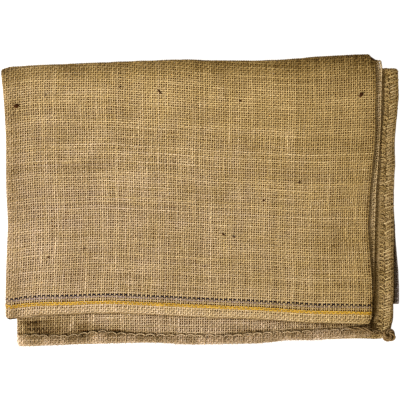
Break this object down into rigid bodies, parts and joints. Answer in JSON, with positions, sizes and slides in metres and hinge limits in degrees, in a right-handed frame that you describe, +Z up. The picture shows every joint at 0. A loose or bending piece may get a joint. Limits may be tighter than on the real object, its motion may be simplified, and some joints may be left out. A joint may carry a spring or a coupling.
{
  "type": "jute sack, folded flat",
  "caption": "Plain-woven jute sack, open at the mouth and sewn along one side and one end, folded in half twice and lying flat, with a twine knot on its sewn corner.",
  "frame": {"origin": "on the surface that the folded sack lies on, under the middle of its outline", "axes": "+X along the sack's length towards its mouth, +Y across it towards the fold, +Z up through the layers"},
  "size_m": [0.3969, 0.2919, 0.0146],
  "materials": {
    "jute_hessian": "matt plain weave with uneven yarns, a dark blue and a yellow warp stripe near the plain side",
    "jute_twine": "matt, hairy twisted twine"
  },
  "bodies": {
    "root": {"sack_cloth": "jute_hessian", "seam_tail_knot": "jute_twine"}
  },
  "joints": []
}
